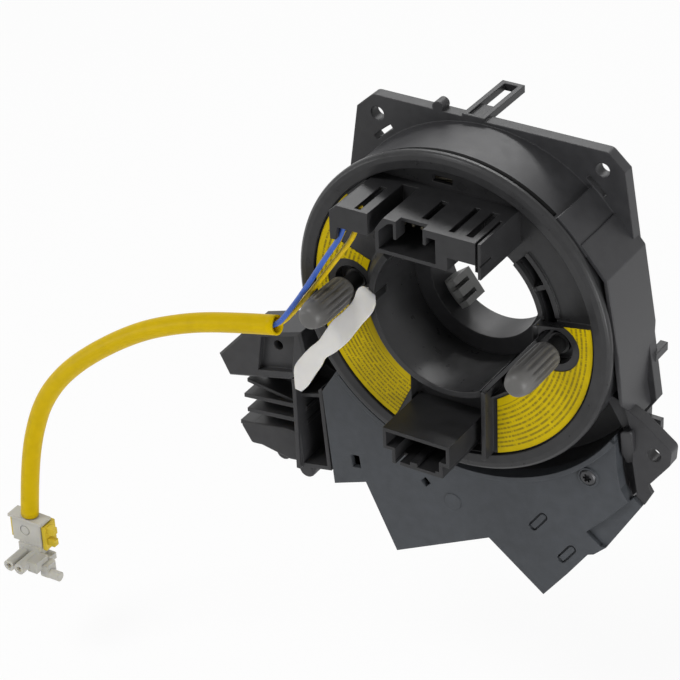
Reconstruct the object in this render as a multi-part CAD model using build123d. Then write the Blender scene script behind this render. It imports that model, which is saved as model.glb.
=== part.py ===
"""Steering clock spring: the spiral-cable unit between a steering wheel and its column.

Every piece is drawn on the steering axis: x to the right, y up and z forwards, towards the wheel,
with z = 0 on the back mounting face. Each finished piece is then stood up, so that the axis lies
level, +Z is up and the front looks along -Y. The origin is the centre of the column bore on the
back mounting face.
"""
import os
from math import cos, hypot, radians, sin, tan

from build123d import *

# Stack along the axis, measured forwards from the back mounting face
FLANGE_THICKNESS = 4.0
DRUM_FRONT = 24.0
RIM_GAP = 1.0
BEZEL_DEPTH = 2.5
FACE_SET_BACK = 1.1
HUB_RISE = 3.6
FLOOR_DROP = 3.8
FLOOR_THICKNESS = 1.5
BORE_REAR = -6.0

# Radii about the axis
BEZEL_RADIUS = 52.0
BEZEL_BAND = 5.2
BEZEL_OVERHANG = 1.0
DRUM_WALL = 2.0
COLUMN_BORE = 18.5
JOURNAL_WALL = 2.5
SHIELD_RADIUS = 24.0
SHIELD_WALL = 2.0
HUB_BORE = 27.5
HUB_RADIUS = 34.5
HUB_WALL = 1.5
LABEL_INNER = 29.0

# Clearances
RUNNING_FIT = 0.1
LOOSE_FIT = 0.4
SEAT_FIT = 0.2

# Outline of the back flange
FLANGE_TOP = 52.0
SCREW_HOLE = 2.2
TOP_HOLE = (37.0, 46.0)
LEFT_HOLE = (-55.3, -44.8)
EAR_HOLE = (61.5, -35.0)

# Cancel cam, which turns in a shallow recess behind the flange
CAM_REACH = 29.2
CAM_ROOM = 2.3
CAM_RECESS = 0.8

# Lead box below the drum
BOX_GAP = 7.5
TRAY_DEPTH = 15.0
COVER_DEPTH = 4.0
BOX_WALL = 2.0
STRIP_DROP = 1.3
EAR_FRONT = 17.0
EAR_THICKNESS = 4.5

# Connectors on the rotor
UPPER_REACH = 45.5
LOWER_REACH = 45.0
SHELL = 1.1
BLADE = 0.8

# Drive pins
PIN_RADIUS = 2.6
CAP_RADIUS = 3.8
CAP_REAR = 31.0
CAP_LENGTH = 20.0
FLUTES = 14

# Ribbon cable
RIBBON = 0.3
RIBBON_WIDTH = 13.0
RIBBON_TURNS = 7

# Airbag lead
LEAD_PLANE = 42.0
WIRE_DIAMETER = 1.6
WIRE_SPREAD = 0.95
SLEEVE_DIAMETER = 6.2
SLEEVE_BORE = 4.6

# Transport tab
TAB_WIDTH = 7.6
TAB_THICKNESS = 1.2

# Values that follow from the ones above
BEZEL_REAR = DRUM_FRONT + RIM_GAP
BEZEL_FRONT = BEZEL_REAR + BEZEL_DEPTH
FACE = BEZEL_FRONT - FACE_SET_BACK
HUB_FRONT = FACE + HUB_RISE
FLOOR = FACE - FLOOR_DROP
FLOOR_REAR = FLOOR - FLOOR_THICKNESS
BAND_RADIUS = BEZEL_RADIUS - BEZEL_BAND
RECESS_RADIUS = BAND_RADIUS - 0.4
DRUM_RADIUS = BEZEL_RADIUS - BEZEL_OVERHANG
BOX_ARC = DRUM_RADIUS + BOX_GAP
DRUM_BORE = DRUM_RADIUS - DRUM_WALL
JOURNAL_RADIUS = COLUMN_BORE + JOURNAL_WALL
COVER_FRONT = TRAY_DEPTH + COVER_DEPTH
LABEL_OUTER = BAND_RADIUS - 0.6
PIN_OFFSET = (SHIELD_RADIUS + SHIELD_WALL + BAND_RADIUS) / 2 - 2.4

UPRIGHT = Rotation(90, 0, 0)
FORWARDS = (0, 0, 1)


def slab(face, rear, front):
    """A flat outline made solid between two planes across the axis."""
    return extrude(Pos(0, 0, rear) * face, front - rear, dir=FORWARDS)


def outline(*points):
    return make_face(Polyline(*points, close=True))


def block(left, right, low, high, rear, front):
    middle = ((left + right) / 2, (low + high) / 2, (rear + front) / 2)
    return Pos(*middle) * Box(right - left, high - low, front - rear)


def disc(radius, rear, front, x=0.0, y=0.0):
    return Pos(x, y, (rear + front) / 2) * Cylinder(radius, front - rear)


def tube(outer, inner, rear, front):
    return disc(outer, rear, front) - disc(inner, rear - 1, front + 1)


def sector(inner, outer, start, end):
    """Flat ring sector about the axis, angles in degrees from +x."""
    rim = CenterArc((0, 0), outer, start, end - start)
    root = CenterArc((0, 0), inner, start, end - start)
    return make_face([rim, root, Line(rim @ 0, root @ 0), Line(rim @ 1, root @ 1)])


def polar(radius, angle):
    return radius * cos(radians(angle)), radius * sin(radians(angle))


def revolved(*profile):
    """Solid of revolution about the axis from (radius, z) points."""
    return revolve(Plane.XZ * outline(*profile), Axis.Z)


def below(*points):
    """Points of the front view, their heights taken from the lowest point of the arc round the drum."""
    return [(x, y - BOX_ARC) for x, y in points]


# The lead box and its cover share one outline below the drum
BOX_LEFT_ANGLE = 219.5
BOX_RIGHT_ANGLE = 328.0
BOX_LEGS = below((-51.4, 11.2), (-48.3, -22.6), (-36.6, -18.2), (-25.9, -40.9), (7.5, -24.0), (26.5, -38.7))
BAR = below((40.8, -10.0), (45.6, -13.7), (47.6, -13.4), (58.4, 4.6), (55.5, 6.6), (47.1, -3.3))
BAR_CORNER = below((54.4, 5.4))[0]
COVER_RIGHT = [
    *below((34.8, -27.7), (41.5, -18.2), (43.5, -17.4)), *BAR[2:5],
    BAR_CORNER, *below((51.8, 9.2), (50.6, 15.5)),
]
TRAY_RIGHT = below((34.8, -27.7), (41.0, -19.0), (47.0, -11.5), (51.8, -3.0), (52.8, 3.5), (50.0, 12.5))
WINDOW_PLACES = below((24.6, -11.9), (34.4, -20.5))
SCREW_PLACE = polar(BOX_ARC + 5.04, -49.34)
SCREW_SHANK = 1.3
SCREW_HEAD = 2.6
LEAD_DUCT = 9.0
LEAD_DUCT_HEIGHT = 11.0


def box_face(right_side):
    """Outline of the box between its legs and the arc round the drum."""
    legs = [polar(BOX_ARC, BOX_LEFT_ANGLE), *BOX_LEGS, *right_side, polar(BOX_ARC, BOX_RIGHT_ANGLE)]
    return outline(*legs) - Circle(BOX_ARC)


def flange_face():
    """Back flange: a trapezoid with a rounded ear at its lower left, behind the carrier."""
    right = [
        (38.5, FLANGE_TOP), (44.0, 47.0), (47.8, 22.0), (52.0, -1.0), (55.6, -25.5), (52.4, -30.5),
    ]
    left = [(-x, y) for x, y in reversed(right)]
    plate = outline(*left, *right, (52.0, -50.0), (-52.0, -50.0))
    plate = fillet(plate.vertices().group_by(Axis.Y)[-1], 2.5)
    ear = outline(
        (-44.0, -27.0), (-59.5, -35.5), (-64.0, -41.5), (-63.4, -47.0), (-54.6, -57.0), (-42.0, -57.0),
    )
    plate = plate + fillet(ear.vertices().sort_by(Axis.X)[:2], 2.2)
    top_x, top_y = TOP_HOLE
    for place in (TOP_HOLE, (-top_x, top_y), LEFT_HOLE):
        plate = plate - Pos(*place) * Circle(SCREW_HOLE)
    return plate


def front_ear():
    """Screw ear on the right, level with the lid: a plate, its web to the drum and a sloped block."""
    rear = EAR_FRONT - EAR_THICKNESS
    face = outline(
        (51.6, -21.8), (56.7, -24.2), (61.9, -28.1), (67.0, -32.0), (66.6, -37.2), (59.8, -46.4),
        (56.4, -51.0), (54.6, -39.7), (54.0, -29.3),
    )
    lug = outline((57.0, -45.0), (59.8, -46.4), (61.3, -48.8), (58.9, -53.5), (56.1, -51.4))
    tips = face.vertices().sort_by(Axis.X)
    face = fillet(tips[-2:], 2.0) - Pos(*EAR_HOLE) * Circle(SCREW_HOLE)
    ear = slab(face, rear, EAR_FRONT) + slab(lug, EAR_FRONT - 1.4, EAR_FRONT)
    bridge = outline(
        polar(DRUM_RADIUS - 0.5, -25.5), polar(DRUM_RADIUS - 0.5, -23.0), (51.6, -21.8), (54.0, -29.3),
        (50.6, -30.0),
    )
    ear += slab(bridge, rear, EAR_FRONT - 1.5)
    web = outline(
        (46.6, -24.5), (51.0, -25.0), (54.6, -29.5), (55.0, -41.0), (56.2, -51.0), (52.8, -55.0),
        (50.0, -46.0), (49.0, -31.0),
    )
    ear += slab(web, rear - 2.0, rear)
    scoop = Plane.YZ * outline(
        (-29.0, rear), (-29.0, EAR_FRONT - 0.3), (-41.0, rear + 1.2), (-41.0, rear),
    )
    return ear + Pos(51.3, 0, 0) * extrude(scoop, 3.2, dir=(1, 0, 0))


def housing():
    """Fixed moulding: drum, back flange, tray of the lead box, screw ear and guide loop."""
    body = slab(flange_face(), 0, FLANGE_THICKNESS)
    body += tube(DRUM_RADIUS, DRUM_BORE, 0, DRUM_FRONT)
    body += slab(sector(DRUM_RADIUS - 0.5, BEZEL_RADIUS + LOOSE_FIT, 35, 50), 0, DRUM_FRONT + LOOSE_FIT)
    tray_face = box_face(TRAY_RIGHT)
    hollow = offset(tray_face, -BOX_WALL, kind=Kind.INTERSECTION)
    body += slab(tray_face, 0, TRAY_DEPTH) - slab(hollow, FLANGE_THICKNESS, TRAY_DEPTH + 1)
    body += slab(outline((-46, -30), (46, -30), (44, -62), (-44, -62)), 0, FLANGE_THICKNESS)
    body += front_ear()
    body -= disc(JOURNAL_RADIUS + RUNNING_FIT, -1, FLANGE_THICKNESS + 1)
    body -= disc(CAM_REACH + CAM_ROOM, -1, CAM_RECESS)
    body += disc(SCREW_SHANK + 1.5, 0, COVER_FRONT - BOX_WALL, *SCREW_PLACE)
    body -= disc(SCREW_SHANK + 0.05, 1, COVER_FRONT, *SCREW_PLACE)
    duct = block(-LEAD_DUCT - SEAT_FIT, LEAD_DUCT + SEAT_FIT, -BOX_ARC - 5, -DRUM_BORE + 3,
                 FLANGE_THICKNESS, FLANGE_THICKNESS + LEAD_DUCT_HEIGHT + SEAT_FIT)
    body -= duct
    body -= block(-SOCKET_WIDTH / 2 - SEAT_FIT, SOCKET_WIDTH / 2 + SEAT_FIT, SOCKET_LOW - SEAT_FIT,
                  SOCKET_LOW + SOCKET_HEIGHT + SEAT_FIT, -1, FLANGE_THICKNESS + 1)
    for start in (45, 127):
        slit = sector(BEZEL_RADIUS + 0.8, BEZEL_RADIUS + 2.3, start, start + 8)
        body -= slab(slit, -1, FLANGE_THICKNESS + 1)
    body += guide_loop()
    body += disc(1.8, 0, FLANGE_THICKNESS, -16.5, FLANGE_TOP + 0.9)
    body += block(51.8, 54.2, -13.6, -11.0, -5.5, 2.0)
    body += block(51.5, 56.2, -37.3, -33.6, 0, 2.0)
    return body


LOOP_LEFT = -8.4
LOOP_WIDTH = 7.4
LOOP_REACH = 20.0
LOOP_RAIL = 1.5


def guide_loop():
    """Flat loop of two rails and a crossbar that runs back from the top edge of the flange."""
    low, high = FLANGE_TOP - 1.4, FLANGE_TOP + 0.9
    left, right = LOOP_LEFT + LOOP_RAIL, LOOP_LEFT + LOOP_WIDTH - LOOP_RAIL
    frame = block(LOOP_LEFT, LOOP_LEFT + LOOP_WIDTH, low, high, -LOOP_REACH, FLANGE_THICKNESS)
    frame -= block(left, right, low - 1, high + 1, -LOOP_REACH + LOOP_RAIL, -5.5)
    frame -= block(left, right, FLANGE_TOP, high + 1, -6, FLANGE_THICKNESS - 1)
    return frame


def lower_cover():
    """Lid over the lead box, with latch windows, a lip round the drum and a low bar on its right."""
    face = box_face(COVER_RIGHT)
    hollow = offset(face, -BOX_WALL, kind=Kind.INTERSECTION)
    body = slab(face, TRAY_DEPTH, COVER_FRONT)
    body -= slab(hollow, TRAY_DEPTH - 1, COVER_FRONT - BOX_WALL)
    lip = sector(BOX_ARC, BOX_ARC + 1.6, BOX_LEFT_ANGLE + 1.5, BOX_RIGHT_ANGLE - 1.5)
    body += slab(lip, COVER_FRONT - 1, COVER_FRONT + 1.3)
    body -= block(-LEAD_DUCT - SEAT_FIT, LEAD_DUCT + SEAT_FIT, -BOX_ARC - 5, -BOX_ARC + 5,
                  TRAY_DEPTH - 1, FLANGE_THICKNESS + LEAD_DUCT_HEIGHT + SEAT_FIT)
    front = COVER_FRONT - BOX_WALL
    oblong, square, dimple = below((-40.0, -11.5), (-14.6, -10.7), (-5.0, -14.6))
    body -= Pos(*oblong, front + 1) * Rot(0, 0, 8) * Box(3.2, 4.6, BOX_WALL * 2)
    body -= Pos(*square, front + 1) * Rot(0, 0, 45) * Box(2.6, 2.6, BOX_WALL * 2)
    for place in WINDOW_PLACES:
        window = Pos(*place) * Rot(0, 0, 54) * (SlotOverall(8.6, 3.0) - SlotOverall(7.4, 1.8))
        body -= slab(window, COVER_FRONT - 0.8, COVER_FRONT + 1)
        body -= Pos(*place, front + 1) * Rot(0, 0, 54) * Pos(-3.6, 0, 0) * Box(0.9, 2.4, BOX_WALL * 2)
    body += disc(2.8, COVER_FRONT, COVER_FRONT + 0.3, *dimple)
    bar = outline(*BAR[:5], BAR_CORNER, BAR[5])
    strip = COVER_FRONT - STRIP_DROP
    body -= slab(bar, strip, COVER_FRONT + 1)
    body -= Pos(*BAR[0], strip) * Rot(0, 0, -37.6) * Pos(3.0, 0, 0) * Box(6.4, 0.5, 1.2)
    collar = tube(SCREW_HEAD + 0.7, SCREW_HEAD + 0.1, COVER_FRONT - 0.5, COVER_FRONT + 0.5)
    body += Pos(*SCREW_PLACE) * collar
    body -= disc(SCREW_HEAD + 0.1, COVER_FRONT - 0.8, COVER_FRONT + 1, *SCREW_PLACE)
    body -= disc(SCREW_SHANK + 0.3, TRAY_DEPTH, COVER_FRONT + 1, *SCREW_PLACE)
    return body


def cover_screw():
    """Thread-forming screw with a star recess."""
    seat = COVER_FRONT - 0.8
    body = disc(SCREW_HEAD, seat, COVER_FRONT + 0.9, *SCREW_PLACE)
    body = chamfer(body.edges().group_by(Axis.Z)[-1], 0.5)
    body += disc(SCREW_SHANK, FLANGE_THICKNESS - 1, seat, *SCREW_PLACE)
    for turn in range(3):
        bit = Pos(*SCREW_PLACE, COVER_FRONT + 0.3) * Rot(0, 0, 60 * turn) * Box(2.8, 0.8, 1.6)
        body -= bit
    return body


# Vehicle side connector, which points backwards out of the tray floor
SOCKET_WIDTH = 30.0
SOCKET_HEIGHT = 13.0
SOCKET_LOW = -BOX_ARC - 19.0
SOCKET_DEPTH = 15.0
SOCKET_PINS = 8
FRAME_PLATE = 1.5


def socket_places():
    """Centres of the two rows of terminals of the vehicle connector."""
    pitch = (SOCKET_WIDTH - 7.0) / (SOCKET_PINS - 1)
    middle = SOCKET_LOW + SOCKET_HEIGHT / 2
    return [((k - (SOCKET_PINS - 1) / 2) * pitch, middle + side * 2.2)
            for side in (-1, 1) for k in range(SOCKET_PINS)]


def vehicle_connector():
    """Shrouded header: open at the back, with a collar that rests on the tray floor."""
    half = SOCKET_WIDTH / 2
    high = SOCKET_LOW + SOCKET_HEIGHT
    body = block(-half, half, SOCKET_LOW, high, -SOCKET_DEPTH, FLANGE_THICKNESS)
    body = fillet(body.edges().filter_by(Axis.Z), 1.0)
    body += block(-half - 1.2, half + 1.2, SOCKET_LOW - 1.2, high + 1.2,
                  FLANGE_THICKNESS, FLANGE_THICKNESS + 1.2)
    body -= block(-half + 1.4, half - 1.4, SOCKET_LOW + 1.4, high - 1.4, -SOCKET_DEPTH - 1, 0.5)
    body -= block(-2.5, 2.5, high - 2, high + 1, -SOCKET_DEPTH - 1, -4)
    body += block(-4, 4, high, high + 1.0, -SOCKET_DEPTH + 1, -SOCKET_DEPTH + 3)
    for x, y in socket_places():
        body -= Pos(x, y, 2) * Box(BLADE, BLADE, 12)
    return body


def vehicle_terminals():
    rear = -SOCKET_DEPTH + 4.0
    front = FLANGE_THICKNESS + 1.2 + 1.0
    return [Pos(x, y, (rear + front) / 2) * Box(BLADE, BLADE, front - rear) for x, y in socket_places()]


def lead_frame():
    """Carrier plate with the stamped tracks from the ribbon's end to the terminals."""
    rear = FLANGE_THICKNESS + 1.2 + 1.0
    high = -BOX_ARC - 5.5
    low = SOCKET_LOW - 2.0
    body = slab(outline((-30, high), (30, high), (26, low), (-26, low)), rear, rear + FRAME_PLATE)
    for x, y in socket_places()[SOCKET_PINS:]:
        body += block(x - 0.7, x + 0.7, y, high - 1.0, rear + FRAME_PLATE, rear + FRAME_PLATE + 0.5)
    return body


# Carrier for the stalk switches, on the left of the housing
NOSE = [(-89.6, -44.8), (-80.5, -34.8), (-58.0, -27.6), (-55.6, -39.5), (-63.0, -46.4), (-86.0, -51.8)]
NOSE_FRONT = 20.0
POCKET = [(-63.5, -46.5), (-52.4, -44.0), (-50.0, -77.5), (-61.8, -79.8)]
CARRIER_REAR = FLANGE_THICKNESS
FIN_TIPS = [(-84.8, -62.4), (-83.9, -67.7), (-86.9, -73.3), (-82.2, -79.3)]


def left_carrier():
    """Ribbed bracket with a pointed nose, an open pocket and four fins."""
    rear = CARRIER_REAR
    body = slab(outline(*NOSE), rear, NOSE_FRONT)
    body = chamfer(body.edges().group_by(Axis.Z)[-1], 0.8)
    dish = outline((-74.5, -46.0), (-72.6, -33.2), (-60.0, -29.4), (-61.6, -43.0))
    body -= slab(dish, NOSE_FRONT - 2.2, 30)
    body -= disc(1.7, rear + 3, 30, -67.7, -36.0)
    pocket = outline(*POCKET)
    body += slab(pocket, rear, NOSE_FRONT - 2)
    body -= slab(offset(pocket, -1.4, kind=Kind.INTERSECTION), rear + 1.5, 30)
    shelf = outline((-62.8, -54.6), (-52.4, -51.8), (-52.4, -50.5), (-62.8, -53.3))
    body += slab(shelf, rear, NOSE_FRONT - 4)
    web = outline(
        (-62.5, -47.0), (-80.0, -52.0), (-83.5, -62.0), (-84.0, -72.0), (-79.0, -79.6), (-61.0, -79.8),
    )
    body += slab(web, rear, rear + 1.6)
    for x, y in FIN_TIPS:
        fin = outline((-61.0, y + 3.4), (x, y + 0.9), (x, y - 0.5), (-61.0, y + 1.8))
        body += slab(fin, rear, NOSE_FRONT - 6)
    body += block(-62.6, -61.2, -80.0, -46.0, rear, NOSE_FRONT - 1)
    body -= disc(SCREW_HOLE + 1.6, rear - 1, 30, *LEFT_HOLE)
    return body


# Rotor: the face with its hub shield, and the sleeve that clips into it from behind
WEB_REAR = FLANGE_THICKNESS + 0.6
WEB_FRONT = WEB_REAR + 1.8
SHIELD_ARC = (142.0, 298.0)
RECESS_ARC = (9.0, 136.0)
RECESS_LEFT = -27.4
LADDER_ARC = (5.0, 47.0)
LADDER_RIB = 28.0
BAY = (-14.2, 12.2)
BAY_LOW = -BAND_RADIUS + 0.5
PIN_RECESS = 5.6
CHORD = ((11.9, -20.9), (29.6, 1.9))
TAB_ROOT = (-24.6, 0.6)
TAB_HEADING = 237.8
TAB_REACH = [(0.0, 22.9), (0.0, 33.5), (20.0, 37.9), (39.2, 39.4)]
TAB_BEND = 6.0


def pin_places():
    return [(-PIN_OFFSET, 1.0), (PIN_OFFSET, -1.0)]


def rotor_face():
    """Front disc: bezel band, label seats, hub shield, lower bay, pin seats and connector recess."""
    rim = 1.1
    body = revolved(
        (SHIELD_RADIUS, BEZEL_REAR), (SHIELD_RADIUS, HUB_FRONT), (SHIELD_RADIUS + 1.4, HUB_FRONT),
        (LABEL_INNER - 0.4, FACE), (BAND_RADIUS - 0.5, FACE), (BAND_RADIUS - 0.5, FACE - 0.5),
        (BAND_RADIUS, FACE - 0.5), (BAND_RADIUS, BEZEL_FRONT - 0.3),
        (BEZEL_RADIUS - rim - 1.5, BEZEL_FRONT), (BEZEL_RADIUS - rim, BEZEL_FRONT - 0.2),
        (BEZEL_RADIUS - 0.3, BEZEL_FRONT - 0.8), (BEZEL_RADIUS, BEZEL_FRONT - 1.5),
        (BEZEL_RADIUS, BEZEL_REAR),
    )
    wall = 1.4
    backing = sector(HUB_BORE, RECESS_RADIUS + wall, RECESS_ARC[0] - 2, RECESS_ARC[1] + 2)
    body += slab(backing, FLOOR_REAR, BEZEL_REAR) & block(RECESS_LEFT - wall, 60, -60, 60, 0, 40)
    bay = block(BAY[0] - wall, BAY[1] + wall, BAY_LOW - 1.0, -SHIELD_RADIUS, FLOOR_REAR, BEZEL_REAR)
    body += bay & disc(DRUM_BORE - 1.0, 0, 40)
    for x, y in pin_places():
        body += disc(PIN_RECESS + wall, FLOOR_REAR, BEZEL_REAR, x, y)
    body += tube(HUB_RADIUS, HUB_RADIUS - HUB_WALL, FLOOR_REAR, BEZEL_REAR)
    body += tube(HUB_BORE + HUB_WALL, HUB_BORE, FLOOR_REAR, BEZEL_REAR)
    side_backing = outline(CHORD[0], (27.5, -22.0), (31.5, -14.0), (32.5, 0.0), CHORD[1])
    body += slab(side_backing, FLOOR_REAR, BEZEL_REAR)

    recess = slab(sector(15.0, RECESS_RADIUS, *RECESS_ARC), FLOOR, 40)
    body -= recess & block(RECESS_LEFT, 60, -60, 60, 0, 50)
    body -= disc(HUB_BORE, 0, 40) & slab(sector(1.0, 60.0, -64.0, SHIELD_ARC[0]), 0, 40)
    body -= block(BAY[0], BAY[1], BAY_LOW, -SHIELD_RADIUS + 2, FLOOR, 40) & disc(RECESS_RADIUS, 0, 40)
    for x, y in pin_places():
        body -= disc(PIN_RECESS, FLOOR, 40, x, y)
    side = outline(CHORD[0], (25.2, -21.0), (30.5, -14.0), (31.0, 0.0), CHORD[1])
    body -= slab(side, FLOOR, 40) & disc(HUB_RADIUS - 3, 0, 40)
    body -= block(-7.5, -1.0, 40.2, 42.2, FLOOR_REAR - 1, 40)

    shield = sector(SHIELD_RADIUS, SHIELD_RADIUS + SHIELD_WALL, *SHIELD_ARC)
    body += slab(shield, WEB_FRONT, HUB_FRONT)
    (x0, y0), (x1, y1) = CHORD
    run = hypot(x1 - x0, y1 - y0)
    nx, ny = (y1 - y0) / run * SHELL, -(x1 - x0) / run * SHELL
    chord_wall = outline((x0, y0), (x1, y1), (x1 + nx, y1 + ny), (x0 + nx, y0 + ny))
    body += slab(chord_wall, FLOOR_REAR, HUB_FRONT)
    bay_wall = block(BAY[1], BAY[1] + wall, BAY_LOW, y0, FLOOR_REAR, HUB_FRONT + 1)
    body += bay_wall & disc(RECESS_RADIUS, 0, 40)

    inner, outer = HUB_BORE + HUB_WALL, HUB_RADIUS - HUB_WALL
    for start, end in ((LADDER_ARC[0], LADDER_RIB - 1.4), (LADDER_RIB + 1.4, LADDER_ARC[1])):
        body -= slab(sector(inner, outer, start, end), FLOOR_REAR - 1, FLOOR + 1)
    for low, high in ((HUB_BORE, inner), (outer, HUB_RADIUS)):
        body += slab(sector(low, high, LADDER_ARC[0] + 6, LADDER_ARC[1]), FLOOR, FLOOR + 0.7)
    for x, y in pin_places():
        body -= disc(PIN_RADIUS - 0.6, FLOOR_REAR - 1, 40, x, y)
    slot = Box(TAB_THICKNESS + 1.2, TAB_WIDTH - 1.2, 20, align=(Align.CENTER, Align.CENTER, Align.MIN))
    return body - Pos(*TAB_ROOT, FLOOR) * Rot(0, 0, TAB_HEADING) * slot


def rotor_sleeve():
    """Rear half of the rotor: the column bore, its journal in the flange and the ribbon hub."""
    hub_in, hub_out = HUB_BORE + HUB_WALL, HUB_RADIUS - HUB_WALL
    body = revolved(
        (COLUMN_BORE, BORE_REAR), (JOURNAL_RADIUS, BORE_REAR), (JOURNAL_RADIUS, WEB_REAR),
        (HUB_RADIUS, WEB_REAR), (HUB_RADIUS, FLOOR_REAR), (hub_out, FLOOR_REAR), (hub_out, WEB_FRONT),
        (hub_in, WEB_FRONT), (hub_in, FLOOR_REAR), (HUB_BORE, FLOOR_REAR), (HUB_BORE, WEB_FRONT),
        (COLUMN_BORE, WEB_FRONT),
    )
    spoke = block(hub_in - 0.2, hub_out + 0.2, -0.8, 0.8, WEB_FRONT, FLOOR_REAR)
    for turn in range(8):
        body += Rot(0, 0, LADDER_RIB + 45 * turn) * spoke
    return body


def cancel_cam():
    """Ring on the rear of the journal whose two lobes trip the indicator stalk."""
    rear, front = BORE_REAR + 0.6, -LOOSE_FIT - 0.2
    body = disc(JOURNAL_RADIUS + 3.0, rear, front)
    for sign in (-1, 1):
        lobe = outline((sign * 14, 19), (sign * 24.5, 12), (sign * 29, 3),
                       (sign * 29, -3), (sign * 24.5, -12), (sign * 14, -19))
        body += slab(lobe, rear, front)
    body &= disc(CAM_REACH, rear, front)
    return body - disc(JOURNAL_RADIUS, rear - 1, front + 1)


def centring_catch():
    """Light clip on the bore wall with two slots, which the column trips when the unit is fitted."""
    body = block(COLUMN_BORE - 6.0, COLUMN_BORE, -4.6, 4.6, -4.0, 1.2)
    body += block(COLUMN_BORE - 7.5, COLUMN_BORE - 4.5, -4.6, 4.6, -4.0, 5.5)
    body &= disc(COLUMN_BORE, -10, 20)
    for side in (-1, 1):
        body -= block(COLUMN_BORE - 8.0, COLUMN_BORE - 3.0, side * 2.0 - 0.7, side * 2.0 + 0.7, -1.0, 6.0)
    body = Rot(0, 0, 217) * body
    return body


# Upper connector block on the rotor
UPPER_LEFT, UPPER_RIGHT = -28.2, 21.0
UPPER_HIGH = BAND_RADIUS - 8.2
UPPER_LOW = UPPER_HIGH - 11.3
UPPER_BAYS = ((-26.0, -16.6), (-11.9, 6.6), (10.3, 19.2))
UPPER_REAR_WALL = 1.8
UPPER_PINS = 6
WINDOW_HIGH = UPPER_LOW + 4.3
HOOKS = ((-7.0, 4.7), (2.6, 3.8))
HOOK = 0.9
NOTCH_DEPTH = 3.0
ROOF_SLOTS = (
    (-20.4, 2.0, 30.0, 44.3),
    (-0.8, 2.3, 29.0, 40.2),
    (9.5, 1.8, 28.0, 43.0),
    (15.0, 2.2, 28.0, 43.0),
)


def upper_connector():
    """Three bays side by side: wire exit on the left, socket in the middle, blank bay on the right."""
    low, high, front = UPPER_LOW, UPPER_HIGH - SHELL, UPPER_REACH
    left, middle, right = UPPER_BAYS
    rear = FLOOR + UPPER_REAR_WALL
    body = block(UPPER_LEFT, UPPER_RIGHT, low, UPPER_HIGH, FLOOR, front)
    top = UPPER_HIGH + 1
    corner = outline(
        (UPPER_LEFT - 1, UPPER_HIGH - 2.2), (UPPER_LEFT - 1, top), (UPPER_LEFT + 2.4, top),
        (UPPER_LEFT + 2.4, UPPER_HIGH), (UPPER_LEFT, UPPER_HIGH - 2.2),
    )
    body -= slab(corner, 0, 60)
    recess = disc(RECESS_RADIUS - SEAT_FIT, FLOOR - 2, 60)
    recess &= block(RECESS_LEFT + LOOSE_FIT, 60, -60, 60, 0, 60)
    body -= disc(60, FLOOR - 1, BEZEL_FRONT + LOOSE_FIT) - recess
    gap_left, gap_right = left[1] + SHELL, middle[0] - SHELL
    gap = outline(
        (gap_left, low - 1), (gap_right, low - 1), (gap_right, UPPER_HIGH - 4.0),
        (middle[0] + 1.6, UPPER_HIGH), (middle[0] + 1.6, top), (gap_left, top),
    )
    body -= slab(gap, rear + 1.5, front + 1)

    exit_bay = outline(
        (left[0] - 0.6, low - 1), (left[1], low - 1), (left[1], high), (left[0], high),
        (left[0], WINDOW_HIGH),
    )
    body -= slab(exit_bay, rear, front - SHELL)
    window = outline(
        (left[0] - 0.6, low - 1), (gap_left + 1, low - 1), (gap_left + 1, WINDOW_HIGH),
        (left[0] + 0.4, WINDOW_HIGH),
    )
    body -= slab(window, BEZEL_FRONT + 3, front + 1)

    socket = outline(
        (middle[0], low + SHELL), (middle[1], low + SHELL), (middle[1], high - 1.2), (3.5, high - 1.2),
        (3.5, high), (-7.6, high), (middle[0] + 3.0, high - 0.4), (middle[0], UPPER_HIGH - 4.4),
    )
    body -= slab(socket, rear, front + 1)
    for x, drop in HOOKS:
        body += block(x, x + HOOK, high - drop, high + 0.5, front - 5, front)
    body -= block(HOOKS[0][0] + HOOK, HOOKS[1][0], high - 0.5, top, front - NOTCH_DEPTH, front + 1)

    body -= block(*right, low - 1, high, rear, front - SHELL)
    body -= block(*right, low - 1, WINDOW_HIGH, rear, front + 1)
    body -= block(right[1], UPPER_RIGHT - 0.9, low - 1, top, front - 14, front + 1)
    body -= block(UPPER_RIGHT - 0.4, UPPER_RIGHT + 1, low + 4.0, low + 4.8, front - 6, front + 1)
    for x, width, start, end in ROOF_SLOTS:
        body -= block(x, x + width, high - 0.5, top, start, end)
    gusset = Plane.YZ * outline((low, FLOOR), (21.0, FLOOR), (24.5, HUB_FRONT + 1), (low, front - 6))
    for x in (middle[0] - SHELL, middle[1] - 6.0):
        body += Pos(x, 0, 0) * extrude(gusset, 1.2, dir=(1, 0, 0)) - disc(HUB_BORE - 0.2, 0, FLOOR)
    for x, y in upper_places():
        body -= Pos(x, y, rear) * Box(BLADE, BLADE, UPPER_REAR_WALL * 4)
    return body


def upper_places():
    low, high = UPPER_BAYS[1]
    pitch = (high - low - 3.6) / (UPPER_PINS - 1)
    return [(low + 1.8 + k * pitch, UPPER_LOW + 4.2) for k in range(UPPER_PINS)]


def upper_terminals():
    length = 12.0
    return [Pos(x, y, FLOOR + length / 2) * Box(BLADE, BLADE, length) for x, y in upper_places()]


# Lower connector on the rotor: an open box with a narrower keyed foot
LOWER_LEFT, LOWER_RIGHT = -13.2, 9.4
LOWER_FOOT = -BAND_RADIUS + 2.2
LOWER_SHOULDER = LOWER_FOOT + 4.4
LOWER_HIGH = LOWER_SHOULDER + 7.2
FOOT_LEFT, FOOT_RIGHT = -10.2, 7.0
LOWER_PINS = 6


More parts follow.
